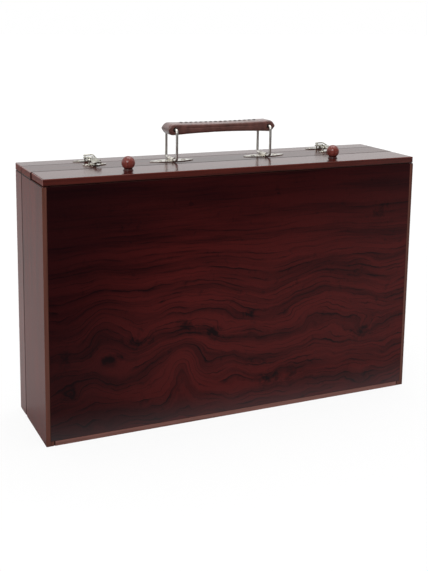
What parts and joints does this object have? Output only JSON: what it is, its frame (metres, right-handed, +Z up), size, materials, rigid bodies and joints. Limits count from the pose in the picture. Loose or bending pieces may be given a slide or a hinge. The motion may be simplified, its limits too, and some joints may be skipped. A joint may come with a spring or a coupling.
{
  "type": "brush box",
  "caption": "Flat wooden artist's box with a hinged lid, a full-width drawer with ball knobs, a folding leather-gripped carrying handle and toggle latches.",
  "frame": {"origin": "bottom centre of the box, on the surface that the closed case stands on", "axes": "+Z up towards the handle, +X along the handle to the right, +Y towards the lid, -Y towards the drawer's bottom panel"},
  "size_m": [0.4, 0.101, 0.2923],
  "materials": {
    "stained_frame": "mahogany stain under gloss lacquer",
    "veneered_panel": "dark mahogany stained veneer under gloss lacquer",
    "inner_wood": "plain sanded",
    "grip_leather": "stitched brown leather",
    "nickel": "bright nickel plate on stamped steel"
  },
  "bodies": {
    "case": {"side_left": "stained_frame", "side_right": "stained_frame", "front_rail": "stained_frame", "hinge_rail": "stained_frame", "bottom_panel": "veneered_panel", "shelf": "inner_wood", "tray_divider": "inner_wood", "small_divider_left": "inner_wood", "small_divider_right": "inner_wood", "brush_rest_left": "inner_wood", "brush_rest_right": "inner_wood", "hinge_leaf_case_left": "nickel", "hinge_leaf_case_right": "nickel", "hinge_pin_left": "nickel", "hinge_pin_right": "nickel", "hinge_case_screws": "nickel", "handle_plate_left": "nickel", "handle_plate_right": "nickel", "handle_screws": "nickel", "latch_base_left": "nickel", "latch_base_right": "nickel", "latch_pin_left": "nickel", "latch_pin_right": "nickel", "latch_base_screws": "nickel"},
    "lid": {"lid_side_left": "stained_frame", "lid_side_right": "stained_frame", "lid_front_rail": "stained_frame", "lid_hinge_rail": "stained_frame", "lid_panel": "veneered_panel", "hinge_leaf_lid_left": "nickel", "hinge_leaf_lid_right": "nickel", "hinge_lid_screws": "nickel", "latch_strike_left": "nickel", "latch_strike_right": "nickel", "latch_strike_screws": "nickel"},
    "drawer": {"drawer_front": "stained_frame", "drawer_side_left": "inner_wood", "drawer_side_right": "inner_wood", "drawer_back": "inner_wood", "drawer_bottom": "inner_wood", "drawer_divider_left": "inner_wood", "drawer_divider_right": "inner_wood", "knob_left": "stained_frame", "knob_right": "stained_frame", "knob_screws": "nickel"},
    "loop_left": {"loop_left": "nickel"},
    "loop_right": {"loop_right": "nickel"},
    "grip": {"grip": "grip_leather"},
    "latch_lever_left": {"latch_lever_left": "nickel"},
    "latch_bail_left": {"latch_bail_left": "nickel"},
    "latch_lever_right": {"latch_lever_right": "nickel"},
    "latch_bail_right": {"latch_bail_right": "nickel"}
  },
  "joints": [
    {"name": "lid_hinge", "type": "hinge", "parent": "case", "child": "lid", "pos_m": [0, 0.0265, 0.0028], "axis": [-1, 0, 0], "range_deg": [0, 95]},
    {"name": "drawer_slide", "type": "slide", "parent": "case", "child": "drawer", "axis": [0, 0, 1], "range_m": [0, 0.2]},
    {"name": "handle_fold", "type": "hinge", "parent": "case", "child": "loop_left", "pos_m": [-0.052, 0.0087, 0.256], "axis": [0, 1, 0], "range_deg": [-70, 70]},
    {"name": "handle_fold_right", "type": "hinge", "parent": "case", "child": "loop_right", "pos_m": [0.052, 0.0087, 0.256], "axis": [0, 1, 0], "range_deg": [-70, 70]},
    {"name": "grip_level", "type": "hinge", "parent": "loop_left", "child": "grip", "pos_m": [-0.052, 0.0087, 0.2865], "axis": [0, 1, 0], "range_deg": [-70, 70]},
    {"name": "latch_lift_left", "type": "hinge", "parent": "case", "child": "latch_lever_left", "pos_m": [-0.132, 0.017, 0.2576], "axis": [-1, 0, 0], "range_deg": [0, 105]},
    {"name": "bail_swing_left", "type": "hinge", "parent": "latch_lever_left", "child": "latch_bail_left", "pos_m": [-0.132, 0.014, 0.2581], "axis": [1, 0, 0], "range_deg": [0, 136.5]},
    {"name": "latch_lift_right", "type": "hinge", "parent": "case", "child": "latch_lever_right", "pos_m": [0.132, 0.017, 0.2576], "axis": [-1, 0, 0], "range_deg": [0, 105]},
    {"name": "bail_swing_right", "type": "hinge", "parent": "latch_lever_right", "child": "latch_bail_right", "pos_m": [0.132, 0.014, 0.2581], "axis": [1, 0, 0], "range_deg": [0, 136.5]}
  ],
  "couplings": [
    {"joint": "handle_fold_right", "follows": "handle_fold", "ratio": 1},
    {"joint": "grip_level", "follows": "handle_fold", "ratio": -1},
    {"joint": "bail_swing_left", "follows": "latch_lift_left", "ratio": 1.3},
    {"joint": "bail_swing_right", "follows": "latch_lift_right", "ratio": 1.3}
  ]
}
